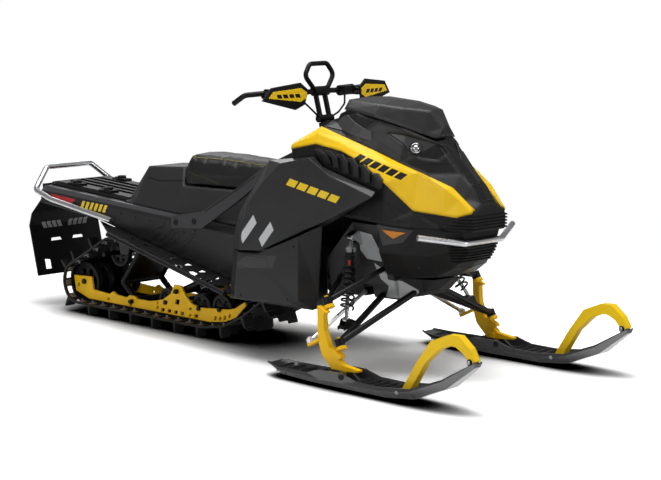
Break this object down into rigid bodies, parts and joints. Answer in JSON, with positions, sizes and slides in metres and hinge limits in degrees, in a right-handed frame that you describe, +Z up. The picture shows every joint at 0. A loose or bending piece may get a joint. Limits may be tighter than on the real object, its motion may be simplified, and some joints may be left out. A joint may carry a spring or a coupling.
{
  "type": "snowmobile",
  "caption": "Mountain snowmobile with steered skis, long lugged track, tunnel, faceted bodywork, handlebar and seat.",
  "frame": {"origin": "on the ground under the middle of the machine's overall box", "axes": "+X forward, +Y to the rider's left, +Z up; the ground is z = 0"},
  "size_m": [3.009, 1.058, 1.217],
  "materials": {
    "alloy_grey": "satin",
    "black_paint": "satin",
    "track_rubber": "matt",
    "yellow_plastic": "gloss",
    "yellow_paint": "satin",
    "black_plastic": "fine grain",
    "charcoal_plastic": "satin",
    "silver_metal": "satin",
    "tunnel_paint": "satin",
    "grey_plastic": "satin",
    "visor_gloss": "gloss",
    "lamp_glass": "gloss",
    "lens_glass": "clear",
    "orange_lens": "gloss",
    "red_lens": "gloss",
    "seat_vinyl": "grained vinyl"
  },
  "bodies": {
    "chassis": {"belly_pan": "black_plastic", "body_insets": "grey_plastic", "bulkhead": "alloy_grey", "console": "black_plastic", "deck_sockets": "black_plastic", "drive_axle": "black_paint", "engine": "black_paint", "front_bumper": "silver_metal", "front_reflectors": "orange_lens", "front_shocks": "silver_metal", "front_springs": "black_paint", "gauge": "black_plastic", "grab_bar": "silver_metal", "grilles": "black_plastic", "headlight_lenses": "lens_glass", "headlights": "lamp_glass", "hood": "charcoal_plastic", "hood_panels": "yellow_plastic", "keel": "alloy_grey", "lower_arms": "black_paint", "lower_side_panels": "charcoal_plastic", "nose_panels": "black_plastic", "rear_deck": "black_plastic", "rear_reflectors": "red_lens", "running_boards": "tunnel_paint", "seat": "seat_vinyl", "side_braces": "black_paint", "side_panels": "charcoal_plastic", "side_vents": "black_plastic", "slide_rail": "yellow_paint", "slide_strip": "black_plastic", "snow_flap": "track_rubber", "tank": "black_plastic", "track": "track_rubber", "track_arms": "black_paint", "track_shocks": "silver_metal", "track_wheels": "black_plastic", "tunnel": "tunnel_paint", "upper_arms": "black_paint", "visor": "visor_gloss", "wheel_shafts": "black_paint"},
    "steering": {"steering_post": "black_paint", "handlebar": "black_paint", "grips": "track_rubber", "controls": "black_plastic", "handguards": "black_plastic", "guard_inserts": "yellow_plastic", "strap_loop": "track_rubber", "bar_cables": "track_rubber"},
    "spindle_left": {"spindle_left": "yellow_paint"},
    "ski_left": {"ski_left": "black_plastic", "ski_loop_left": "yellow_plastic", "ski_runner_left": "silver_metal"},
    "tie_rod_left": {"tie_rod_left": "silver_metal"},
    "spindle_right": {"spindle_right": "yellow_paint"},
    "ski_right": {"ski_right": "black_plastic", "ski_loop_right": "yellow_plastic", "ski_runner_right": "silver_metal"},
    "tie_rod_right": {"tie_rod_right": "silver_metal"}
  },
  "joints": [
    {"name": "steering", "type": "hinge", "parent": "chassis", "child": "steering", "pos_m": [0.27, 0, 0.982], "axis": [-0.2796, 0, 0.9601], "range_deg": [-33, 33]},
    {"name": "spindle_left", "type": "hinge", "parent": "chassis", "child": "spindle_left", "pos_m": [0.798, 0.45, 0.172], "axis": [-0.4441, -0.0584, 0.8941], "range_deg": [-30.2, 30.2]},
    {"name": "spindle_right", "type": "hinge", "parent": "chassis", "child": "spindle_right", "pos_m": [0.798, -0.45, 0.172], "axis": [-0.4441, 0.0584, 0.8941], "range_deg": [-30.2, 30.2]},
    {"name": "tie_rod_left", "type": "slide", "parent": "chassis", "child": "tie_rod_left", "axis": [0, 0.9979, 0.0652], "range_m": [-0.0753, 0.0753]},
    {"name": "tie_rod_right", "type": "slide", "parent": "chassis", "child": "tie_rod_right", "axis": [0, 0.9979, -0.0652], "range_m": [-0.0753, 0.0753]},
    {"name": "ski_left", "type": "hinge", "parent": "spindle_left", "child": "ski_left", "pos_m": [0.812, 0.457, 0.052], "axis": [0, 1, 0], "range_deg": [-10, 10]},
    {"name": "ski_right", "type": "hinge", "parent": "spindle_right", "child": "ski_right", "pos_m": [0.812, -0.457, 0.052], "axis": [0, 1, 0], "range_deg": [-10, 10]}
  ],
  "couplings": [
    {"joint": "spindle_left", "follows": "steering", "ratio": 0.9},
    {"joint": "spindle_right", "follows": "steering", "ratio": 0.9},
    {"joint": "tie_rod_left", "follows": "steering", "m_per_rad": -0.12904},
    {"joint": "tie_rod_right", "follows": "steering", "m_per_rad": -0.12904}
  ]
}
